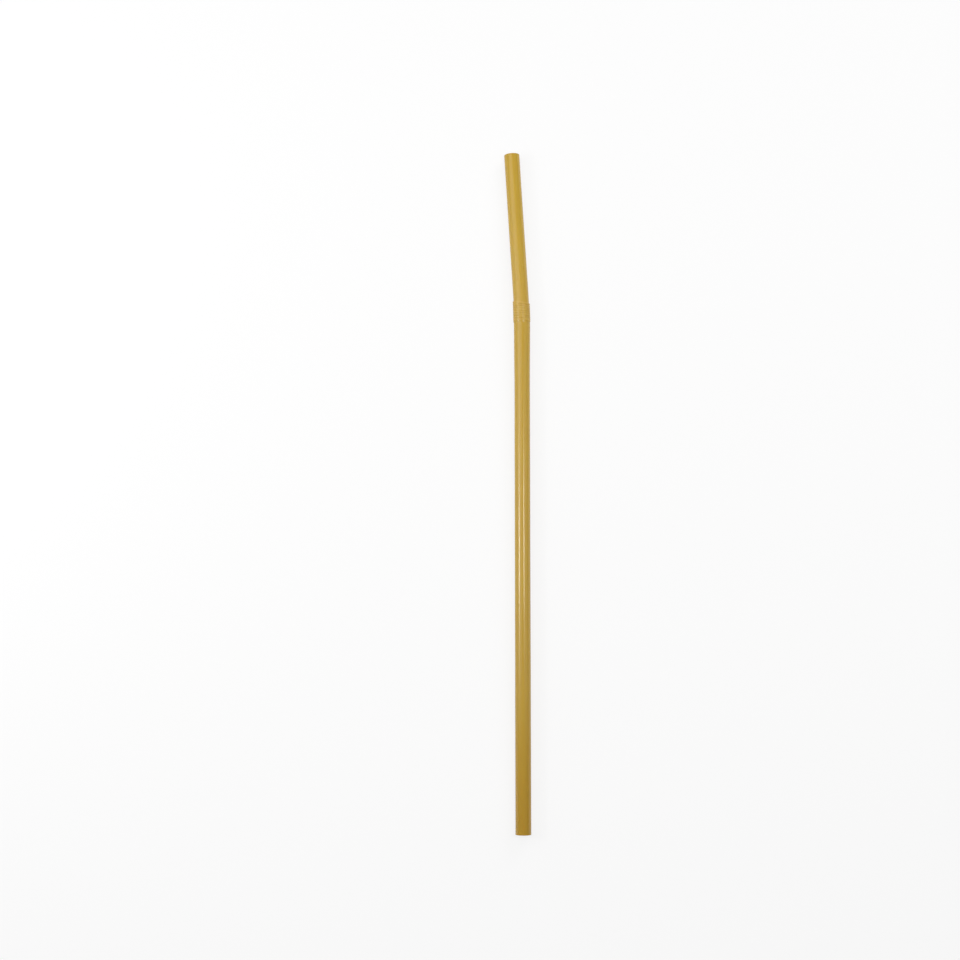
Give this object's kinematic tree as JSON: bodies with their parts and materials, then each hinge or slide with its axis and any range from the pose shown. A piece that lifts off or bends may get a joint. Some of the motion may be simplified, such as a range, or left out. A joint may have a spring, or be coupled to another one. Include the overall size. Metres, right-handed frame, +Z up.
{
  "type": "flexible drinking straw",
  "caption": "Flexible drinking straw: a thin straight plastic tube with a pushed-together bellows collar near its mouth, lying flat with the short leg leaning a little sideways.",
  "frame": {"origin": "centre of the box of the straw as it lies, on the table", "axes": "+Y along the long leg from the foot to the mouth, +Z up from the table, -X the way the mouth leg leans"},
  "size_m": [0.0092, 0.2404, 0.0061],
  "materials": {
    "straw_plastic": "satin"
  },
  "bodies": {
    "root": {"straw": "straw_plastic"}
  },
  "joints": []
}
